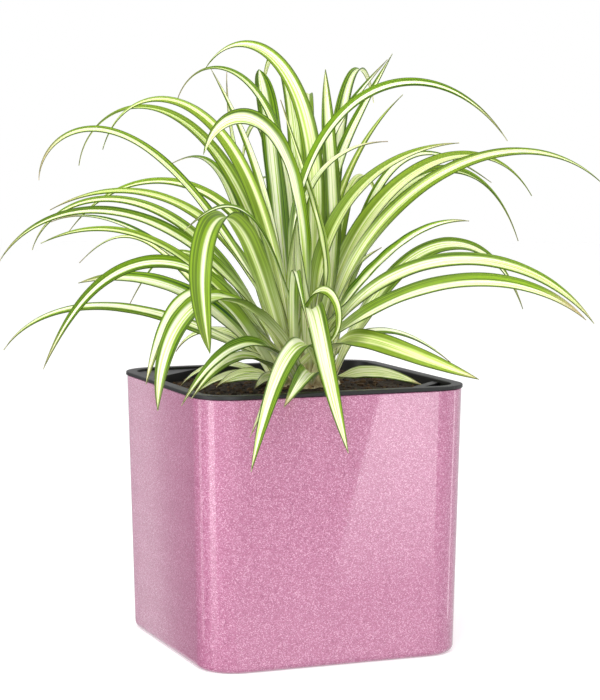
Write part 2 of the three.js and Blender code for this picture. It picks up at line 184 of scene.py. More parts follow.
# a soft box to the right of the camera, slanted and dimmer towards its foot
add_panel("front_panel", [
    ((101, -PANELS_OFF, 120), (136, -PANELS_OFF, 120), 5.3),
    ((99, -PANELS_OFF, 103), (136, -PANELS_OFF, 103), 4.9),
    ((85, -PANELS_OFF, 54), (136, -PANELS_OFF, 54), 3.9),
    ((77, -PANELS_OFF, 22), (136, -PANELS_OFF, 22), 2.7),
    ((70, -PANELS_OFF, -8), (136, -PANELS_OFF, -8), 1.6),
])
# the pale ground in front of the pot
add_panel("ground_panel", [
    ((-80, -GROUND_OFF, -120), (220, -GROUND_OFF, -120), 1.5),
    ((-80, -GROUND_OFF, -40), (220, -GROUND_OFF, -40), 1.5),
    ((-80, -GROUND_OFF, 30), (220, -GROUND_OFF, 30), 0.8),
])
# a narrow lamp off the near corner, a faint gleam on the left face, a lamp off the right corner
add_panel("corner_panel", [
    ((-PANELS_OFF, -80, -60), (-PANELS_OFF, -150, -60), 0.8),
    ((-PANELS_OFF, -80, 0), (-PANELS_OFF, -150, 0), 2.8),
    ((-PANELS_OFF, -80, 50), (-PANELS_OFF, -150, 50), 4.4),
    ((-PANELS_OFF, -80, 150), (-PANELS_OFF, -150, 150), 4.6),
])
add_panel("side_gleam", [
    ((-GLEAM_OFF, 62, -40), (-GLEAM_OFF, 15, -40), 1.2),
    ((-GLEAM_OFF, 62, 150), (-GLEAM_OFF, 15, 150), 2.2),
])
add_panel("right_panel", [
    ((PANELS_OFF, -60, -30), (PANELS_OFF, -84, -30), 3.2),
    ((PANELS_OFF, -60, 120), (PANELS_OFF, -84, 120), 3.2),
])
# the dim side of the room, which the left face of the pot looks towards
add_panel("dim_wall", [
    ((-PANELS_OFF, -50, -400), (-PANELS_OFF, -50, 180), 0.05),
    ((-PANELS_OFF, 490, -400), (-PANELS_OFF, 490, 180), 0.05),
    ((-PANELS_OFF, 548, -400), (-PANELS_OFF, 548, 180), 0.34),
    ((-PANELS_OFF, 603, -400), (-PANELS_OFF, 603, 180), 0.9),
    ((-PANELS_OFF, 650, -400), (-PANELS_OFF, 650, 180), 1.0),
])


# ---------------------------------------------------------------- the outer pot
# A square planter moulded in one piece: its walls lean out a little, its upright corners are
# widely rounded and its foot is rolled under. It is sprayed pink, with fine glitter under a
# thick clear lacquer.

POT_HEIGHT = 132.8 * MM
POT_TOP = 140 * MM
POT_BASE = 134.7 * MM
POT_CORNER = 19 * MM
POT_FOOT = 3.5 * MM
POT_WALL = 2.8 * MM
POT_FLOOR = 3 * MM
SOFT_EDGE = 0.5 * MM
# what lies nearer than this to a level is taken to be on it
NEAR = 0.1 * MM


def take(piece):
    """Make this piece the one that the next tool works on."""
    clear_selection()
    piece.select_set(True)
    bpy.context.view_layer.objects.active = piece


def open_for_editing(piece):
    take(piece)
    bpy.ops.object.mode_set(mode="EDIT")


def pick_faces(wanted):
    """Select the faces of the piece in hand whose middle and normal are wanted."""
    bpy.ops.mesh.select_mode(type="FACE")
    bpy.ops.mesh.select_all(action="DESELECT")
    mesh = bpy.context.edit_object.data
    shape = bmesh.from_edit_mesh(mesh)
    for face in shape.faces:
        face.select = wanted(face.calc_center_median(), face.normal)
    shape.select_flush_mode()
    bmesh.update_edit_mesh(mesh)


def pick_edges(wanted):
    """Select the edges of the piece in hand whose middle and direction are wanted."""
    bpy.ops.mesh.select_mode(type="EDGE")
    bpy.ops.mesh.select_all(action="DESELECT")
    mesh = bpy.context.edit_object.data
    shape = bmesh.from_edit_mesh(mesh)
    for edge in shape.edges:
        start, end = (vertex.co for vertex in edge.verts)
        edge.select = wanted((start + end) / 2, (end - start).normalized())
    shape.select_flush_mode()
    bmesh.update_edit_mesh(mesh)


def facing_up(middle, normal):
    return normal.z > 0.9


def facing_down(middle, normal):
    return normal.z < -0.9


def upright(middle, direction):
    return abs(direction.z) > 0.9


def resize_level(share, z=0):
    """Scale what is selected in X and Y about the object's upright axis."""
    bpy.ops.transform.resize(value=(share, share, 1), center_override=(0, 0, z))


def push_face(inset, travel, share):
    """Inset the selected face, draw it up or down and scale it: a wall and its far end."""
    bpy.ops.mesh.inset(thickness=inset, depth=0)
    bpy.ops.mesh.extrude_region_move(TRANSFORM_OT_translate={"value": (0, 0, travel)})
    resize_level(share)


def round_edges(radius, segments):
    bpy.ops.mesh.bevel(offset=radius, segments=segments, affect="EDGES")


def add_block(name, place, turn, size):
    """A plain block, turned about the upright axis and open for editing."""
    clear_selection()
    bpy.ops.mesh.primitive_cube_add(size=1, location=place, rotation=(0, 0, turn), scale=size)
    block = bpy.context.object
    block.name = name
    bpy.ops.object.transform_apply(location=True, rotation=True, scale=True)
    open_for_editing(block)
    return block


def rounded_block(name, width, low, high, corner, lower_width=None):
    """A square block with rounded upright corners, open for editing."""
    block = add_block(name, (0, 0, (low + high) / 2), 0, (width, width, high - low))
    if lower_width:
        pick_faces(facing_down)
        resize_level(lower_width / width)
    pick_edges(upright)
    round_edges(corner, segments=12)
    return block


def turn_faces_out():
    bpy.ops.mesh.select_all(action="SELECT")
    bpy.ops.mesh.normals_make_consistent(inside=False)


def apply_modifier(piece, kind, **settings):
    """Work one modifier into the mesh of a piece."""
    take(piece)
    modifier = piece.modifiers.new(kind.lower(), kind)
    for name, value in settings.items():
        setattr(modifier, name, value)
    bpy.ops.object.modifier_apply(modifier=modifier.name)


def smooth_curves(piece, angle):
    """Shade as one curve the faces that meet at less than this many degrees."""
    take(piece)
    bpy.ops.object.shade_smooth_by_angle(angle=math.radians(angle))


def place_piece(piece, node):
    """The piece takes its node's place on the plant's one body."""
    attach(piece, "root")
    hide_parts(node)


pot = rounded_block("pot_shell", POT_TOP, 0, POT_HEIGHT, POT_CORNER, lower_width=POT_BASE)
pick_edges(lambda middle, direction: middle.z < NEAR)
round_edges(POT_FOOT, segments=6)
pick_faces(facing_up)
inner_share = (POT_BASE - 2 * POT_WALL) / (POT_TOP - 2 * POT_WALL)
push_face(POT_WALL, POT_FLOOR - POT_HEIGHT, inner_share)
pick_edges(lambda middle, direction: middle.z > POT_HEIGHT - NEAR)
round_edges(SOFT_EDGE, segments=3)
turn_faces_out()
smooth_curves(pot, angle=40)
apply_modifier(pot, "WEIGHTED_NORMAL", keep_sharp=True)


def srgb(red, green, blue):
    """A colour named by its 0 to 255 values, as light."""
    def light(value):
        share = value / 255
        return share / 12.92 if share <= 0.04045 else ((share + 0.055) / 1.055) ** 2.4
    return (light(red), light(green), light(blue), 1)


def object_place(tree):
    return tree.nodes.new("ShaderNodeTexCoord").outputs["Object"]


def calculate(tree, operation, *values, kind="Math"):
    """One step of arithmetic on values or on what comes out of other nodes."""
    step = tree.nodes.new("ShaderNode" + kind)
    step.operation = operation
    feed(tree, step, dict(enumerate(values)))
    return step.outputs[0]


def spread(tree, value, low, high, to_low=0.0, to_high=1.0, passage="LINEAR"):
    """What runs from low to high in the value, spread over another range."""
    step = tree.nodes.new("ShaderNodeMapRange")
    step.interpolation_type = passage
    feed(tree, step, {
        "Value": value, "From Min": low, "From Max": high, "To Min": to_low, "To Max": to_high})
    return step.outputs["Result"]


def add_ramp(tree, share, stops):
    """A colour for each share, passing evenly from stop to stop."""
    step = tree.nodes.new("ShaderNodeValToRGB")
    elements = step.color_ramp.elements
    for element, (position, color) in zip(elements, (stops[0], stops[-1])):
        element.position = position
        element.color = color
    for position, color in stops[1:-1]:
        elements.new(position).color = color
    feed(tree, step, {"Fac": share})
    return step.outputs["Color"]


def glitter_lacquer():
    material, shader, tree = new_material("pink_glitter_lacquer")
    # every cell is one flake in the paint, about a third of a millimetre across
    flakes = tree.nodes.new("ShaderNodeTexVoronoi")
    feed(tree, flakes, {"Vector": object_place(tree), "Scale": 2800})
    parts = tree.nodes.new("ShaderNodeSeparateColor")
    feed(tree, parts, {"Color": flakes.outputs["Color"]})
    # the flakes lie at slightly different angles under the lacquer
    lean = calculate(tree, "SUBTRACT", flakes.outputs["Color"], (0.5, 0.5, 0.5), kind="VectorMath")
    lean = calculate(tree, "MULTIPLY", lean, (0.26, 0.26, 0.26), kind="VectorMath")
    surface = tree.nodes.new("ShaderNodeNewGeometry").outputs["Normal"]
    tilted = calculate(tree, "ADD", surface, lean, kind="VectorMath")
    feed(tree, shader, {
        "Base Color": add_ramp(tree, parts.outputs["Red"], [
            (0.0, srgb(134, 70, 103)), (0.3, srgb(155, 88, 122)), (0.6, srgb(160, 94, 127)),
            (0.8, srgb(175, 115, 145)), (0.97, srgb(198, 149, 173))]),
        "Normal": calculate(tree, "NORMALIZE", tilted, kind="VectorMath"),
        "Metallic": spread(tree, parts.outputs["Green"], 0.7, 1.0, 0.0, 0.3),
        "Roughness": 0.42,
        "Coat Weight": 1.0,
        "Coat Roughness": 0.05,
    })
    return material


pot.data.materials.append(glitter_lacquer())
place_piece(pot, "outer_pot")


# ---------------------------------------------------------------- the liner
# A black plastic planting insert, moulded in one piece, that hangs in the pot by its flat lip.
# A diagonal web parts a watering shaft from the soil in one corner, and the opposite corner is
# closed by a flat shelf.

GAP = 0.3 * MM
LIP_WIDTH = 141.2 * MM
LIP_THICK = 1.7 * MM
LIP_UNDER = POT_HEIGHT + GAP
LINER_TOP = LIP_UNDER + LIP_THICK
LIP_CORNER = POT_CORNER + (LIP_WIDTH - POT_TOP) / 2
MOUTH = 129.8 * MM
LINER_FLOOR_WIDTH = 122 * MM
LINER_FLOOR = 34 * MM
LINER_WALL = 2 * MM
LINER_UNDER = LINER_FLOOR - LINER_WALL
# a leg is what a diagonal line cuts off a side of the mouth, from the square corner on
WEB_THICK = 5 * MM
WEB_TOP = LINER_TOP - 1.5 * MM
SHAFT_LEG = 26 * MM
WEB_LEG = SHAFT_LEG + WEB_THICK * math.sqrt(2)
SHAFT_MOUTH_LEG = 16.1 * MM
SHELF_LEG = 38 * MM
SHELF_TIP_LEG = 7.3 * MM
SHELF_TOP = LINER_TOP - 1.2 * MM
SHELF_UNDER = SHELF_TOP - 17 * MM
SHAFT_CORNER = (1, -1)
SHELF_CORNER = (-1, 1)


def liner_half(z):
    """Half of the liner's inside width at the height z."""
    share = (z - LINER_FLOOR) / (LINER_TOP - LINER_FLOOR)
    return (LINER_FLOOR_WIDTH + (MOUTH - LINER_FLOOR_WIDTH) * share) / 2


def cut_away(point, direction, fill=True):
    """Cut the piece in hand by a plane and drop what lies beyond it."""
    bpy.ops.mesh.select_all(action="SELECT")
    bpy.ops.mesh.bisect(
        plane_co=point, plane_no=direction, use_fill=fill, clear_outer=True)


def diagonal(leg):
    """Distance from the upright axis of the line that cuts legs of this length off the mouth."""
    return MOUTH / math.sqrt(2) - leg / math.sqrt(2)


def corner_block(name, corner, legs, heights, into_wall):
    """A block across one corner of the liner, its ends cut to the leaning walls."""
    side_x, side_y = corner
    near, far = (diagonal(leg) for leg in legs)
    low, high = heights
    middle = (near + far) / 2 / math.sqrt(2)
    block = add_block(
        name, (side_x * middle, side_y * middle, (low + high) / 2), math.atan2(side_y, side_x),
        (abs(far - near), MOUTH, high - low))
    lean = (liner_half(LINER_TOP) - liner_half(LINER_FLOOR)) / (LINER_TOP - LINER_FLOOR)
    reach = liner_half(LINER_TOP) + into_wall
    cut_away((side_x * reach, 0, LINER_TOP), (side_x, 0, -lean))
    cut_away((0, side_y * reach, LINER_TOP), (0, side_y, -lean))
    bpy.ops.object.mode_set(mode="OBJECT")
    return block


def join_solid(piece, other, operation):
    """Fuse the other solid into the piece, or cut it out, and use it up."""
    apply_modifier(piece, "BOOLEAN", operation=operation, solver="EXACT", object=other)
    bpy.data.objects.remove(other)


liner = rounded_block("liner_tub", LIP_WIDTH, LIP_UNDER, LINER_TOP, LIP_CORNER)
pick_faces(facing_up)
push_face((LIP_WIDTH - MOUTH) / 2, LINER_FLOOR - LINER_TOP, LINER_FLOOR_WIDTH / MOUTH)
pick_faces(facing_down)
outer_width = MOUTH + 2 * LINER_WALL
lower_width = LINER_FLOOR_WIDTH + 2 * LINER_WALL
push_face((LIP_WIDTH - outer_width) / 2, LINER_UNDER - LIP_UNDER, lower_width / outer_width)
pick_edges(lambda middle, direction: middle.z > LINER_TOP - NEAR)
round_edges(SOFT_EDGE, segments=3)
turn_faces_out()
bpy.ops.object.mode_set(mode="OBJECT")

web = corner_block(
    "web", SHAFT_CORNER, (SHAFT_LEG, WEB_LEG), (LINER_FLOOR - MM, WEB_TOP), LINER_WALL / 2)
open_for_editing(web)
pick_edges(lambda middle, direction: (
    middle.z > WEB_TOP - NEAR and abs(direction.x - direction.y) < 0.1))
round_edges(SOFT_EDGE, segments=2)
bpy.ops.object.mode_set(mode="OBJECT")
join_solid(liner, web, "UNION")
shelf = corner_block(
    "shelf", SHELF_CORNER, (SHELF_TIP_LEG, SHELF_LEG), (SHELF_UNDER, SHELF_TOP), LINER_WALL / 2)
join_solid(liner, shelf, "UNION")
shaft_mouth = corner_block(
    "shaft_mouth", SHAFT_CORNER, (SHAFT_MOUTH_LEG, SHAFT_LEG),
    (LINER_UNDER - LINER_WALL, LINER_FLOOR + LINER_WALL), -3 * SOFT_EDGE)
join_solid(liner, shaft_mouth, "DIFFERENCE")
smooth_curves(liner, angle=30)
apply_modifier(liner, "WEIGHTED_NORMAL", keep_sharp=True)


def add_noise(tree, vector, scale, detail=3.0, roughness=0.55):
    grain = tree.nodes.new("ShaderNodeTexNoise")
    feed(tree, grain, {
        "Vector": vector, "Scale": scale, "Detail": detail, "Roughness": roughness})
    return grain.outputs["Fac"]


def add_bump(tree, height, strength, distance):
    bump = tree.nodes.new("ShaderNodeBump")
    feed(tree, bump, {"Height": height, "Strength": strength, "Distance": distance})
    return bump.outputs["Normal"]


def black_moulding():
    material, shader, tree = new_material("black_moulding")
    place = object_place(tree)
    scuff = add_noise(tree, place, 60)
    feed(tree, shader, {
        "Base Color": add_ramp(tree, scuff, [(0.35, srgb(8, 8, 9)), (0.75, srgb(18, 18, 20))]),
        "Roughness": spread(tree, scuff, 0.0, 1.0, 0.38, 0.54),
        "Specular IOR Level": 0.45,
        "Normal": add_bump(tree, add_noise(tree, place, 1800), 0.25, 0.05 * MM),
    })
    return material


liner.data.materials.append(black_moulding())
place_piece(liner, "liner")


# ---------------------------------------------------------------- the soil
# Dark potting soil fills the liner up to a finger's breadth under its lip. It is a heap of
# small crumbs and bits of bark, a little higher round the plant.

SOIL_LEVEL = 129 * MM
SOIL_CELLS = 120
SOIL_CORNER = 14 * MM - GAP
SOIL_HEAP = 1.2 * MM
SOIL_HEAP_REACH = 12 * MM
# the lumps on it: their size and height in millimetres, and where in the noise they start
SOIL_LUMPS = [(9, 0.9, (0, 0, 0)), (3.1, 0.6, (7, 3, 0)), (1.3, 0.35, (2, 9, 0))]
SOIL_ENDS = [(SHAFT_CORNER, WEB_LEG), (SHELF_CORNER, SHELF_LEG)]
PLANT_X = 9.3 * MM
PLANT_Y = 1.8 * MM
ROOTSTOCK_RADIUS = 18.5 * MM
CRUMBS = 900
CRUMB_SIZES = [0.5, 0.7, 0.9, 1.3, 1.8]
CRUMB_SEED = 11


def soil_height(x, y):
    """How far the heap stands above its level at a place."""
    place = Vector((x, y, 0)) / MM
    lumps = sum(
        height * noise.noise(place / size + Vector(start)) for size, height, start in SOIL_LUMPS)
    from_plant = math.hypot(x - PLANT_X, y - PLANT_Y) - ROOTSTOCK_RADIUS
    return lumps * MM + SOIL_HEAP * math.exp(-max(0, from_plant) / SOIL_HEAP_REACH)


def rounded_reach(x, y, half, corner):
    """How far the middle of a rounded square lies from its outline, through this point."""
    wide, narrow = max(abs(x), abs(y)), min(abs(x), abs(y))
    length = math.hypot(x, y)
    straight = half - corner
    if length == 0 or narrow / wide * half <= straight:
        return half * length / wide if length else half
    # the ray leaves through the round corner, whose middle is at (straight, straight)
    along = straight * (wide + narrow) / length
    across = 2 * straight ** 2 - corner ** 2
    return along + math.sqrt(along ** 2 - across)


clear_selection()
bpy.ops.mesh.primitive_grid_add(
    x_subdivisions=SOIL_CELLS, y_subdivisions=SOIL_CELLS, size=2, location=(0, 0, 0))
soil = bpy.context.object
soil.name = "soil_heap"
soil_half = liner_half(SOIL_LEVEL) - GAP
for vertex in soil.data.vertices:
    x, y = vertex.co.x, vertex.co.y
    length = max(math.hypot(x, y), 1e-9)
    reach = rounded_reach(x, y, soil_half, SOIL_CORNER) * max(abs(x), abs(y))
    vertex.co = (x / length * reach, y / length * reach, SOIL_LEVEL)

open_for_editing(soil)
for (side_x, side_y), leg in SOIL_ENDS:
    middle = diagonal(leg + 2 * GAP) / math.sqrt(2)
    cut_away((side_x * middle, side_y * middle, 0), (side_x, side_y, 0), fill=False)
bpy.ops.mesh.select_all(action="SELECT")
bpy.ops.mesh.extrude_region_move(
    TRANSFORM_OT_translate={"value": (0, 0, LINER_FLOOR + GAP - SOIL_LEVEL)})
resize_level((liner_half(LINER_FLOOR) - GAP) / soil_half)
turn_faces_out()
bpy.ops.object.mode_set(mode="OBJECT")
for vertex in soil.data.vertices:
    if vertex.co.z > SOIL_LEVEL - MM:
        vertex.co.z += soil_height(vertex.co.x, vertex.co.y)

clear_selection()
bpy.ops.mesh.primitive_ico_sphere_add(subdivisions=1, radius=1)
crumb = bpy.context.object
crumb_points = [vertex.co.copy() for vertex in crumb.data.vertices]
crumb_faces = [tuple(face.vertices) for face in crumb.data.polygons]
bpy.data.objects.remove(crumb)


def in_soil(x, y, margin):
    """Whether a place is on the open soil, clear of the walls, the web and the shelf."""
    if rounded_reach(x, y, soil_half - margin, SOIL_CORNER) < math.hypot(x, y):
        return False
    for (side_x, side_y), leg in SOIL_ENDS:
        if (side_x * x + side_y * y) / math.sqrt(2) > diagonal(leg) - 2 * margin:
            return False
    return math.hypot(x - PLANT_X, y - PLANT_Y) > ROOTSTOCK_RADIUS * 0.8


def scatter_crumbs(draw):
    """The loose crumbs that lie on the soil, as one mesh: each is a turned, knobbly grain."""
    points, faces, bark = [], [], []
    while len(bark) < CRUMBS:
        x, y = draw.uniform(-1, 1) * soil_half, draw.uniform(-1, 1) * soil_half
        size = draw.choice(CRUMB_SIZES) * MM
        if not in_soil(x, y, size):
            continue
        first = len(points)
        wide, deep, high = draw.uniform(0.7, 1.6), draw.uniform(0.7, 1.3), draw.uniform(0.45, 0.9)
        turn = draw.uniform(0, math.tau)
        ground = SOIL_LEVEL + soil_height(x, y) + 0.2 * size
        for point in crumb_points:
            knob = point * draw.uniform(0.75, 1.2) * size
            along, across = knob.x * wide, knob.y * deep
            points.append((
                x + along * math.cos(turn) - across * math.sin(turn),
                y + along * math.sin(turn) + across * math.cos(turn),
                ground + knob.z * high))
        faces += [tuple(first + i for i in face) for face in crumb_faces]
        bark.append(draw.random())
    mesh = bpy.data.meshes.new("soil_crumbs")
    mesh.from_pydata(points, [], faces)
    set_values(mesh, bark=np.repeat(bark, len(crumb_points)))
    return mesh


crumbs = bpy.data.objects.new("soil_crumbs", scatter_crumbs(random.Random(CRUMB_SEED)))
scene.collection.objects.link(crumbs)
set_values(soil.data, bark=0.3)
take(soil)
crumbs.select_set(True)
bpy.ops.object.join()


def potting_soil():
    material, shader, tree = new_material("potting_soil")
    mottle = add_noise(tree, object_place(tree), 420, 6, 0.7)
    mixed = calculate(tree, "MULTIPLY_ADD", read_attribute(tree, "bark"), 0.65, mottle)
    feed(tree, shader, {
        "Base Color": add_ramp(tree, mixed, [
            (0.42, srgb(20, 12, 6)), (0.76, srgb(42, 28, 14)), (1.0, srgb(76, 54, 30))]),
        "Roughness": 0.92,
        "Normal": add_bump(tree, mottle, 0.9, 0.5 * MM),
    })
    return material


soil.data.materials.append(potting_soil())
place_piece(soil, "soil")


# ---------------------------------------------------------------- the leaves
# Each strap leaf is a thin keeled blade, green with a cream band down its middle. It grows
# from one whorl of the rootstock, arches over and runs out to a long point.

LEAF_THICK = 0.5 * MM
# how deep the root of a leaf is sunk into the rootstock
LEAF_SINK = 5 * MM
# the blade's width: its share of the full one at the root, where along the blade it is full,
# the power by which it runs out to the tip, and what is left there
LEAF_ROOT = 0.58
LEAF_WIDEST = 0.4
LEAF_TAPER = 2
LEAF_END = 0.12 * MM
# a blade is this much broader than its row says, as its keel draws its edges together
LEAF_FULL = 1.12
# the keel: degrees that each half stands up, how many more at the root, over which share of
# the length those go, and the power that makes the halves hollow
LEAF_FOLD = 28
LEAF_ROOT_FOLD = 26
LEAF_FOLDED = 0.2
LEAF_HOLLOW = 1.35
# as shares of half the width: how high the edges wave, and how broad the midrib's groove is
LEAF_WAVE = 0.035
MIDRIB_SHARE = 0.14
MIDRIB_DEPTH = 0.05 * MM
# the share of the length over which a blade turns to its roll
LEAF_ROLLED = 0.35
BLADE_STEPS = 120
BLADE_CELLS = 8
# the plant's turn in the pot in degrees, the height of the rootstock's dome, how far a leaf's
# root stands off it, and how much more where the leaf twists away
PLANT_TURN = -21.1
DOME = 22 * MM
STAND = 0.95 * MM
STAND_TWISTED = 0.46 * MM
# distance of each whorl of leaves from the middle of the rootstock, in millimetres
WHORLS = [0, 4, 7.5, 11, 14.2, 17.2]
LEAF_SEED = 5

# whorl, direction of the root, heading, length, lean at the root, whole bend, where the bend
# is and over what share of the length, drift of the heading, width and roll; the angles are in
# degrees and the sizes in millimetres
LEAVES = [
    (1, 286, 309, 137, 48, -70, 0.25, 0.1, 5, 10.5, -63),
    (2, 19, 29, 143, 79, -17, 0.4, 0.1, 1, 10, -26),
    (2, 89, 133, 217, 100, 143, 0.9, 0.2, 0, 10.5, 54),
    (2, 135, 139, 201, 92, 157, 1.05, 0.2, 2, 5.5, 40),
    (2, 167, 153, 212, 80, 149, 0.9, 0.2, -9, 9, 50),
    (2, 216, 211, 210, 57, 146, 1.4, 0.2, 10, 9, 58),
    (2, 238, 315, 240, 101, 153, 0.75, 0.3, 6, 8.5, -74),
    (2, 254, 243, 157, 62, 87, 0.65, 0.15, 0, 4.5, 58),
    (2, 293, 311, 134, 46, 48, 1.1, 0.25, 0, 11, -58),
    (2, 343, 353, 144, 101, 98, 0.75, 0.45, 0, 10.5, -62),
    (3, 12, 12, 249, 88, 116, -0.2, 0.75, 38, 8.5, -58),
    (3, 31, 43, 196, 71, 95, 0.6, 0.1, 4, 6, -49),
    (3, 50, 20, 209, 86, 134, 1.2, 0.6, 25, 9.5, -55),
    (3, 63, 36, 169, 87, 35, 0.55, 0.1, 7, 8.5, -27),
    (3, 78, 64, 194, 93, 64, 0.5, 0.1, -5, 6, -27),
    (3, 100, 105, 230, 86, 152, 0.85, 0.15, -4, 10, -4),
    (3, 127, 111, 163, 72, 27, 0.85, 0.1, -9, 12, -9),
    (3, 142, 121, 180, 81, 44, 0.5, 0.2, -5, 6, 24),
    (3, 176, 190, 165, 74, 102, 0.7, 0.25, -16, 9, 45),
    (3, 195, 204, 187, 60, 119, 1.4, 0.4, -6, 8.5, 58),
    (3, 211, 243, 187, 57, 173, 0.65, 0.1, 9, 12.5, 5),
    (3, 233, 233, 157, 48, 136, 0.95, 0.4, 13, 11.5, 19),
    (3, 254, 288, 94, 76, 243, 0.65, 0.15, 27, 6.5, -46),
    (3, 270, 225, 174, 88, 161, 0.9, 0.15, 0, 11, 76),
    (4, 41, 42, 221, 78, 141, 0.7, 0.25, 3, 9.5, -55),
    (4, 63, 72, 216, 75, 132, 0.85, 0.1, 1, 10, -1),
    (4, 87, 87, 209, 82, 131, 0.75, 0.1, 3, 9, 0),
    (4, 106, 111, 194, 71, 143, 0.8, 0.1, -6, 9, 5),
    (4, 125, 133, 238, 76, 157, 1.4, 0.3, 16, 9.5, 31),
    (4, 144, 124, 179, 63, 75, 0.7, 0.1, -7, 7.5, 23),
    (4, 156, 154, 191, 94, 146, 0.65, 0.3, 9, 7, 60),
    (4, 171, 160, 157, 50, 72, 1.4, 0.3, -3, 5, 54),
    (4, 187, 186, 178, 70, 144, 1.4, 0.35, -4, 8, 58),
    (4, 203, 198, 153, 30, 87, 1.4, 0.3, -10, 7.5, 58),
    (4, 218, 202, 173, 59, 124, 0.55, 0.15, 0, 8.5, 58),
    (4, 234, 221, 174, 46, 67, 0.85, 0.2, -3, 8, 54),
    (4, 246, 268, 135, 73, 101, 0.45, 0.1, 10, 5.5, -1),
    (4, 253, 308, 179, 37, 80, 1.4, 0.35, 38, 8.5, -62),
    (4, 277, 268, 146, 88, 135, 0.25, 0.1, 22, 10.5, -12),
    (4, 290, 348, 175, 74, 125, 0.3, 0.85, 17, 8, -57),
    (4, 306, 304, 123, 66, 76, 0.1, 0.1, 8, 10.5, -55),
    (5, 32, 45, 187, 60, 122, 0.7, 0.25, -4, 9, -58),
    (5, 56, 34, 95, 75, 111, -0.15, 0.35, -2, 4.5, -58),
    (5, 68, 68, 170, 68, 119, 0.75, 0.1, 3, 9, -10),
    (5, 83, 66, 191, 84, 59, 0.45, 0.35, -8, 5.5, -15),
    (5, 102, 102, 158, 65, 100, 0.8, 0.1, 3, 7.5, 0),
    (5, 132, 132, 165, 46, 96, 0.65, 0.1, -2, 5, 55),
    (5, 153, 138, 178, 39, 74, 0.75, 0.1, -4, 4, 50),
    (5, 178, 177, 120, 63, 79, 0.8, 0.55, -2, 8.5, 55),
    (5, 220, 231, 141, 49, 113, 0.6, 0.1, 4, 9.5, 5),
    (5, 234, 241, 104, 36, 63, 0.4, 0.25, 5, 8.5, 30),
    (5, 250, 243, 122, 49, 89, 0.3, 0.4, -3, 10.5, 30),
    (5, 278, 271, 99, 24, 43, 0.3, 0.35, -18, 11.5, 20),
    (5, 298, 260, 139, 47, 110, 0.4, 0.2, -19, 11.5, 14),
]
# the short ones, which are grown together with the rootstock
SHORT_LEAVES = [
    (1, 342, 356, 129, 104, 104, 0.8, 0.2, -4, 4.5, -60),
    (4, 17, 31, 72, 83, 59, 0.7, 0.1, 0, 4.5, -32),
    (5, 114, 118, 175, 61, -31, 0.95, 0.1, 3, 4, 10),
    (5, 163, 164, 67, 65, 124, 0.8, 0.35, 0, 4.5, 58),
    (5, 207, 209, 36, 35, 75, 0.55, 0.35, 0, 5, 58),
    (5, 263, 261, 114, 39, 72, 0.35, 0.1, -10, 4.5, 12),
    (5, 316, 312, 64, 25, 36, 0.2, 0.35, 1, 7.5, -55),
]
# the papery sheaths of leaves that have died back
SHEATHS = [
    (5, 196, 200, 44, 24, 62, 0.55, 0.3, 6, 5, 52),
    (5, 214, 221, 33, 18, 30, 0.5, 0.3, -12, 6, 40),
    (5, 228, 234, 27, 30, 66, 0.6, 0.3, 8, 6, 46),
    (5, 182, 184, 52, 34, 84, 0.6, 0.25, -8, 3.5, 60),
]


def eased(share):
    share = np.clip(share, 0, 1)
    return share * share * (3 - 2 * share)


def bend_done(u, at, over):
    """Share of a leaf's bend that is done at the share u of its length."""
    def logistic(x):
        return 1 / (1 + np.exp(-np.clip((x - at) / over, -60, 60)))
    return (logistic(u) - logistic(0)) / (logistic(1) - logistic(0))


def leaf_frame(leaf, u):
    """Directions along the midrib, across the blade and out of its upper face."""
    _, _, heading, _, lean, bend, at, over, sweep, _, roll = leaf
    lift = np.radians(lean - bend * bend_done(u, at, over))
    way = np.radians(heading + sweep * u)
    roll = np.radians(roll) * eased(u / LEAF_ROLLED)
    along = np.stack([np.cos(lift) * np.cos(way), np.cos(lift) * np.sin(way), np.sin(lift)], -1)
    face = np.stack([-np.sin(lift) * np.cos(way), -np.sin(lift) * np.sin(way), np.cos(lift)], -1)
    across = np.cross(along, face)
    turned, still = np.sin(roll)[:, None], np.cos(roll)[:, None]
    return along, across * still + face * turned, face * still - across * turned


def dome_height(radius):
    return SOIL_LEVEL + DOME * (1 - (radius / ROOTSTOCK_RADIUS) ** 2)


def root_point(leaf):
    """Middle of a leaf's root, a little way off the rootstock's surface."""
    whorl, root, heading = leaf[:3]
    radius = WHORLS[whorl] * MM
    slope = 2 * DOME * radius / ROOTSTOCK_RADIUS ** 2
    twist = abs(math.sin(math.radians(root - heading)))
    out = (STAND + STAND_TWISTED * twist) / math.hypot(slope, 1)
    direction = math.radians(root)
    reach = radius + slope * out
    return np.array([
        reach * math.cos(direction), reach * math.sin(direction), dome_height(radius) + out])


def to_plant(points):
    """From the plant's own directions to its place in the pot."""
    turn = math.radians(PLANT_TURN)
    x, y, z = points[..., 0], points[..., 1], points[..., 2]
    return np.stack([
        PLANT_X + x * math.cos(turn) - y * math.sin(turn),
        PLANT_Y + x * math.sin(turn) + y * math.cos(turn),
        z], -1)


clear_selection()
bpy.ops.mesh.primitive_grid_add(
    x_subdivisions=BLADE_CELLS, y_subdivisions=BLADE_STEPS, size=2, location=(0, 0, 0))
blank = bpy.context.object
blank.name = "blade_blank"
blank_points = np.empty(len(blank.data.vertices) * 3)
blank.data.vertices.foreach_get("co", blank_points)
blank_points = blank_points.reshape(-1, 3)
blank_side = blank_points[:, 0]
blank_row = np.rint((blank_points[:, 1] + 1) / 2 * BLADE_STEPS).astype(int)


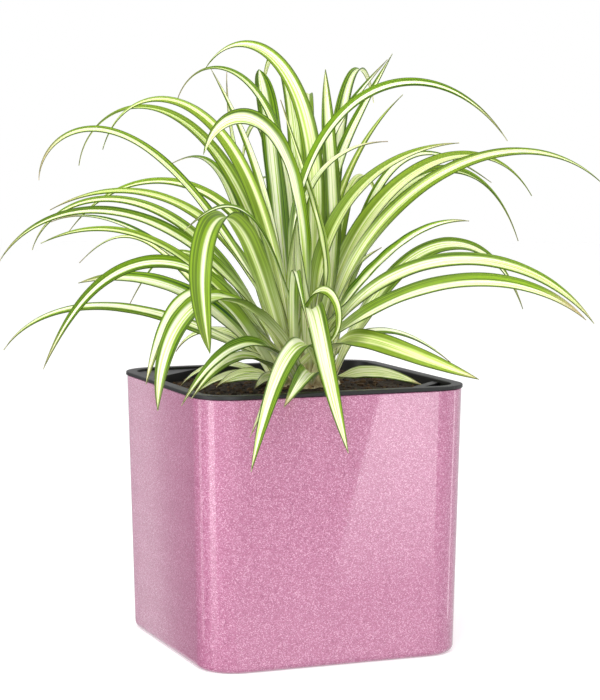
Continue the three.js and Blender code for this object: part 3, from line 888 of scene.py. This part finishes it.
def bend_blade(leaf, draw, taper):
    """Places of the flat blank's points on the arched, keeled and gently waved blade."""
    length, width = leaf[3] * MM, leaf[9] * MM
    between = (np.arange(BLADE_STEPS) + 0.5) / BLADE_STEPS
    steps = leaf_frame(leaf, between)[0] * length / BLADE_STEPS
    midrib = root_point(leaf) + np.vstack([np.zeros(3), np.cumsum(steps, 0)])
    u = np.arange(BLADE_STEPS + 1) / BLADE_STEPS
    along, across, face = leaf_frame(leaf, u)
    midrib[0] -= along[0] * LEAF_SINK
    widened = np.sin(math.pi / 2 * np.clip(u / LEAF_WIDEST, 0, 1))
    half = width / 2 * LEAF_FULL * (LEAF_ROOT + (1 - LEAF_ROOT) * widened) * (1 - u ** taper)
    half = np.maximum(half, LEAF_END / 2)
    fold = np.radians(LEAF_FOLD + LEAF_ROOT_FOLD * (1 - eased(u / LEAF_FOLDED)))
    row, side = blank_row, blank_side
    ripples, start = draw.uniform(9, 16), draw.uniform(0, 6)
    wave = LEAF_WAVE * np.sin(u[row] * ripples * math.pi + side * 1.5 + start)
    wave *= np.abs(side) * np.sin(math.pi * u[row])
    rise = np.abs(side) ** LEAF_HOLLOW * np.sin(fold[row]) + wave
    groove = MIDRIB_DEPTH * np.exp(-(side / MIDRIB_SHARE) ** 2)
    return (midrib[row]
            + across[row] * (side * half[row] * np.cos(fold[row]))[:, None]
            + face[row] * (rise * half[row] - groove)[:, None])


def make_blade(name, leaf, draw, node, slot, taper=LEAF_TAPER, **looks):
    """One leaf, with its own mesh: bent to its row, given its thickness and painted."""
    blade = blank.copy()
    blade.data = blank.data.copy()
    blade.name = name
    scene.collection.objects.link(blade)
    blade.data.vertices.foreach_set("co", to_plant(bend_blade(leaf, draw, taper)).ravel())
    for material in leaf_materials:
        blade.data.materials.append(material)
    set_values(blade.data, **looks)
    apply_modifier(blade, "SOLIDIFY", thickness=LEAF_THICK, offset=0,
                   material_offset=1, material_offset_rim=2)
    smooth_curves(blade, angle=50)
    place_piece(blade, node)


def mix_colors(tree, share, first, second):
    """A colour between two colours, or between what comes out of other nodes."""
    blend = tree.nodes.new("ShaderNodeMix")
    blend.data_type = "RGBA"
    feed(tree, blend, {"Factor": share, 6: first, 7: second})
    return blend.outputs[2]


def soft_step(tree, value, low, high):
    """0 below low and 1 above high, with a smooth passage. Low may be the greater one."""
    if not isinstance(low, bpy.types.NodeSocket) and low > high:
        return spread(tree, value, high, low, 1.0, 0.0, "SMOOTHSTEP")
    return spread(tree, value, low, high, passage="SMOOTHSTEP")


DEEP_GREEN = srgb(22, 66, 2)
LIGHT_GREEN = srgb(116, 150, 22)
YOUNG_GREEN = srgb(154, 178, 60)
EDGE_GREEN = srgb(58, 80, 16)
DULL_GREEN = srgb(170, 190, 100)
WHITE_CREAM = srgb(247, 249, 224)
YELLOW_CREAM = srgb(224, 230, 138)
CREAM_LINES = srgb(180, 204, 92)
SHEATH_GREEN = srgb(204, 216, 134)
SHEATH_WHITE = srgb(254, 254, 228)
ROOT_BLUSH = srgb(230, 208, 178)
DRY_TIP = srgb(176, 154, 122)


def variegation():
    """The leaf's own pattern: a cream band, green margins, fine lines, a pale root."""
    tree = bpy.data.node_groups.new("variegation", "ShaderNodeTree")
    tree.interface.new_socket("Color", in_out="OUTPUT", socket_type="NodeSocketColor")
    tree.interface.new_socket("Lines", in_out="OUTPUT", socket_type="NodeSocketFloat")
    out = tree.nodes.new("NodeGroupOutput")
    where = tree.nodes.new("ShaderNodeUVMap")
    where.uv_map = "UVMap"
    parts = tree.nodes.new("ShaderNodeSeparateXYZ")
    feed(tree, parts, {"Vector": where.outputs["UV"]})
    side, share = parts.outputs["X"], parts.outputs["Y"]
    band, tone, shift, grain, dry = (
        read_attribute(tree, name) for name in ("band", "tone", "shift", "grain", "dry"))

    def step(operation, *values):
        return calculate(tree, operation, *values)

    def along_noise(across_scale, length_scale, detail):
        """Noise that is drawn out along the blade and differs from leaf to leaf."""
        place = tree.nodes.new("ShaderNodeCombineXYZ")
        feed(tree, place, {
            "X": step("MULTIPLY", side, across_scale),
            "Y": step("MULTIPLY", share, length_scale),
            "Z": step("MULTIPLY", grain, 37.0)})
        return add_noise(tree, place.outputs["Vector"], 1.0, detail)

    wander = along_noise(5.0, 3.0, 2.0)
    streak = along_noise(15.0, 1.6, 2.0)
    lines = along_noise(26.0, 0.8, 0.0)

    # across the blade, from -1 to 1: the cream band round its middle, the green outside it
    across = step("MULTIPLY_ADD", side, 2.0, -1.0)
    border = step("ABSOLUTE", step("ADD", shift, across))
    border = step("MULTIPLY_ADD", wander, 0.36, border)
    border = step("MULTIPLY_ADD", streak, 0.34, border)
    outside = soft_step(tree, border, step("ADD", band, 0.22), step("ADD", band, 0.46))
    green = mix_colors(tree, soft_step(tree, streak, 0.4, 0.6), DEEP_GREEN, LIGHT_GREEN)
    green = mix_colors(tree, tone, green, YOUNG_GREEN)
    cream = mix_colors(tree, tone, WHITE_CREAM, YELLOW_CREAM)
    cream = mix_colors(tree, soft_step(tree, streak, 0.54, 0.36), cream, CREAM_LINES)
    color = mix_colors(tree, outside, cream, green)
    rim = step("MULTIPLY", soft_step(tree, step("ABSOLUTE", across), 0.86, 1.0), 0.75)
    color = mix_colors(tree, rim, color, EDGE_GREEN)

    # along the blade, from 0 to 1: the pale sheath at its root, the blush in the soil, the tip
    sheath = mix_colors(tree, soft_step(tree, streak, 0.42, 0.58), SHEATH_GREEN, SHEATH_WHITE)
    pale = step("MULTIPLY", soft_step(tree, share, 0.36, 0.02), 0.85)
    color = mix_colors(tree, pale, color, sheath)
    blush = step("MULTIPLY", soft_step(tree, share, 0.06, 0.0), 0.6)
    color = mix_colors(tree, blush, color, ROOT_BLUSH)
    withered = step("MULTIPLY", soft_step(tree, share, 0.84, 1.0), dry)
    feed(tree, out, {"Color": mix_colors(tree, withered, color, DRY_TIP), "Lines": lines})
    return tree


pattern = variegation()


def leaf_paint(name, veil, veil_share, roughness):
    """The pattern under a veil: none above, a dull pale one below, a dark one on the edge."""
    material, shader, tree = new_material(name)
    paint = tree.nodes.new("ShaderNodeGroup")
    paint.node_tree = pattern
    feed(tree, shader, {
        "Base Color": mix_colors(tree, veil_share, paint.outputs["Color"], veil),
        "Roughness": roughness,
        "Specular IOR Level": 0.18,
        "Subsurface Weight": 0.25,
        "Subsurface Scale": 1.2 * MM,
        "Subsurface Radius": (0.8, 1.0, 0.3),
        "Normal": add_bump(tree, paint.outputs["Lines"], 0.3, 0.06 * MM),
    })
    return material


leaf_materials = [
    leaf_paint("leaf_upper_face", WHITE_CREAM, 0.0, 0.4),
    leaf_paint("leaf_underside", DULL_GREEN, 0.2, 0.55),
    leaf_paint("leaf_edge", EDGE_GREEN, 0.75, 0.5),
]

# the leaves that stand out keep their own looks, and some stay broad nearly to the tip
OWN_LOOKS = {
    2: dict(taper=7, band=0.5, tone=0.15, shift=0.1),
    3: dict(taper=3, band=0.62, tone=0.3, dry=0.1),
    4: dict(taper=3, band=0.5, tone=0.1, shift=0.3),
    14: dict(taper=3, band=0.6),
    15: dict(taper=3, band=0.66),
    17: dict(taper=20, band=0.42, tone=0.0, shift=0.05, dry=0.0),
    21: dict(taper=9, band=0.2, tone=0.3, shift=0.12, dry=0.1),
    22: dict(taper=6, band=0.5, tone=0.1, shift=-0.15),
    24: dict(taper=6, band=0.74, tone=0.1, shift=0.2, dry=0.1),
    26: dict(taper=3),
    35: dict(taper=3),
    38: dict(taper=5),
    39: dict(taper=4, band=0.7, tone=0.2, shift=-0.1, dry=0.1),
    40: dict(taper=5),
    41: dict(taper=4, band=0.45, tone=0.6),
    42: dict(taper=4),
    45: dict(tone=0.7, band=0.36),
    49: dict(taper=5, band=0.6),
    50: dict(taper=5),
    51: dict(band=0.5),
    52: dict(band=0.5),
    53: dict(taper=3, band=0.6),
    54: dict(taper=3, band=0.56, tone=0.15, dry=0.1),
}

draw = random.Random(LEAF_SEED)
for number, leaf in enumerate(LEAVES, 1):
    looks = dict(
        band=draw.uniform(0.28, 0.66), tone=draw.uniform(0, 0.8) ** 2,
        shift=draw.uniform(-0.5, 0.5), grain=draw.random(), dry=draw.choice([0.2, 0.5, 0.9]))
    looks.update(OWN_LOOKS.get(number, {}))
    make_blade(f"leaf_blade_{number:02d}", leaf, draw, f"leaf_{number:02d}", "leaf", **looks)
for number, leaf in enumerate(SHORT_LEAVES, 1):
    make_blade(
        f"short_leaf_{number}", leaf, draw, "crown", "crown", taper=3,
        band=draw.uniform(0.95, 1.2), tone=draw.uniform(0.0, 0.3),
        shift=draw.uniform(-0.2, 0.2), grain=draw.random(), dry=1.0)
for number, leaf in enumerate(SHEATHS, 1):
    make_blade(
        f"dry_sheath_{number}", leaf, draw, "crown", "crown", taper=3,
        band=1.3, tone=draw.uniform(0.0, 0.2), shift=0.0, grain=draw.random(), dry=1.0)
bpy.data.objects.remove(blank)


# ---------------------------------------------------------------- the rootstock
# The short fleshy stem that every leaf grows from. It stands in the soil, and the papery
# bases of old leaves clasp it.

CROWN_SIDES = 48
CROWN_DEPTH = 21 * MM
# the buried part: its share of the full radius at each height over its foot
CROWN_FOOT = [(0.7, 0), (0.95, 5 * MM), (1.0, 12 * MM)]
DOME_RINGS = 12
LUMP_HEIGHT = 0.5 * MM
LUMP_SIZE = 3 * MM

crown_bottom = SOIL_LEVEL - CROWN_DEPTH
profile = [(share * ROOTSTOCK_RADIUS, crown_bottom + height) for share, height in CROWN_FOOT]
for ring in range(DOME_RINGS):
    radius = ROOTSTOCK_RADIUS * (1 - ring / DOME_RINGS)
    profile.append((radius, dome_height(radius)))

clear_selection()
bpy.ops.mesh.primitive_circle_add(
    vertices=CROWN_SIDES, radius=profile[0][0], fill_type="NGON", location=(0, 0, crown_bottom))
crown = bpy.context.object
crown.name = "rootstock"
bpy.ops.object.transform_apply(location=True, rotation=True, scale=True)
open_for_editing(crown)
bpy.ops.mesh.select_all(action="SELECT")
for (radius, z), (next_radius, next_z) in zip(profile, profile[1:]):
    bpy.ops.mesh.extrude_region_move(TRANSFORM_OT_translate={"value": (0, 0, next_z - z)})
    resize_level(next_radius / radius, next_z)
turn_faces_out()
bpy.ops.object.mode_set(mode="OBJECT")
for vertex in crown.data.vertices:
    lump = LUMP_HEIGHT * noise.noise(vertex.co / LUMP_SIZE)
    vertex.co += Vector((vertex.co.x, vertex.co.y, 0)).normalized() * lump
    vertex.co += Vector((PLANT_X, PLANT_Y, 0))
smooth_curves(crown, angle=60)


def rootstock_skin():
    material, shader, tree = new_material("rootstock_skin")
    mottle = add_noise(tree, object_place(tree), 260, 5)
    feed(tree, shader, {
        "Base Color": add_ramp(
            tree, mottle, [(0.35, srgb(150, 122, 78)), (0.7, srgb(226, 218, 172))]),
        "Roughness": 0.7,
        "Normal": add_bump(tree, mottle, 0.6, 0.4 * MM),
    })
    return material


crown.data.materials.append(rootstock_skin())
place_piece(crown, "crown")


# ---------------------------------------------------------------- nothing left selected
clear_selection()
